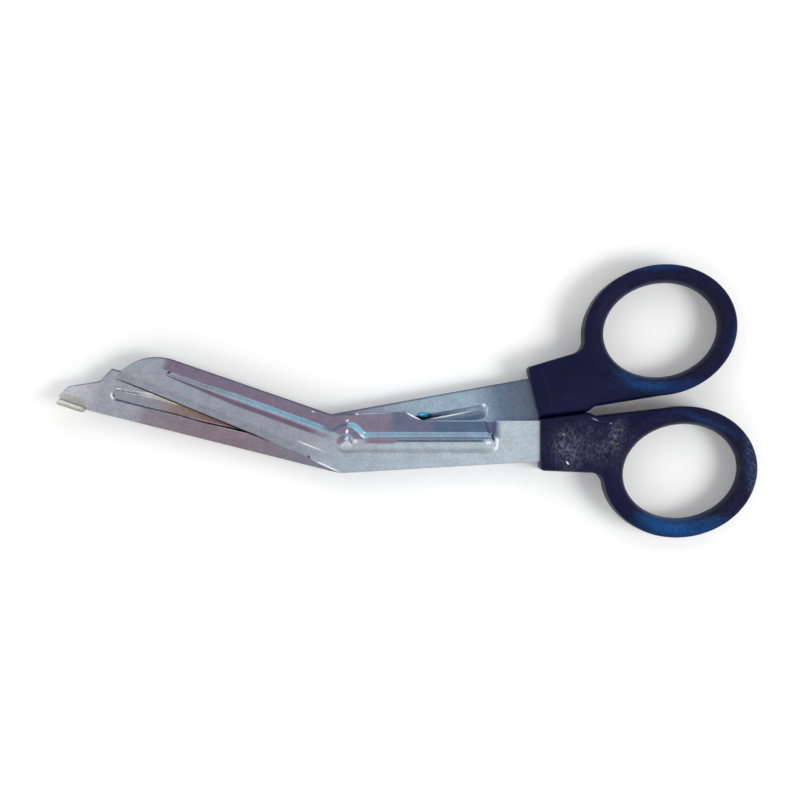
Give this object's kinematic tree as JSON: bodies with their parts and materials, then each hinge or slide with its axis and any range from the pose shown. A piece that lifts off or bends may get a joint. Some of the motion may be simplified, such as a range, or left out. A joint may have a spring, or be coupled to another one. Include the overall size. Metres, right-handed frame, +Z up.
{
  "type": "bandage scissors",
  "caption": "Bandage scissors with pressed sheet-steel blades, a blunt folded probe tip, moulded oval ring handles and a domed pivot rivet; opening the handles opens the blades.",
  "frame": {"origin": "on the pivot axis, on the surface that the closed scissors lie on", "axes": "+X along the top blade's shank towards the finger ring, so the blades point towards -X; +Z up along the pivot axis, towards the rivet's domed head; +Y towards the thumb ring"},
  "size_m": [0.1392, 0.0542, 0.0064],
  "materials": {
    "blade_steel": "satin stamped stainless sheet",
    "rivet_steel": "polished rivet head",
    "handle_plastic": "satin navy moulded plastic"
  },
  "bodies": {
    "probe_half": {"probe_blade": "blade_steel", "thumb_handle": "handle_plastic", "pivot_rivet": "rivet_steel"},
    "top_half": {"top_blade": "blade_steel", "finger_handle": "handle_plastic"}
  },
  "joints": [
    {"name": "pivot_hinge", "type": "hinge", "parent": "probe_half", "child": "top_half", "pos_m": [0, 0, 0.0032], "axis": [0, 0, -1], "range_deg": [0, 130]}
  ]
}
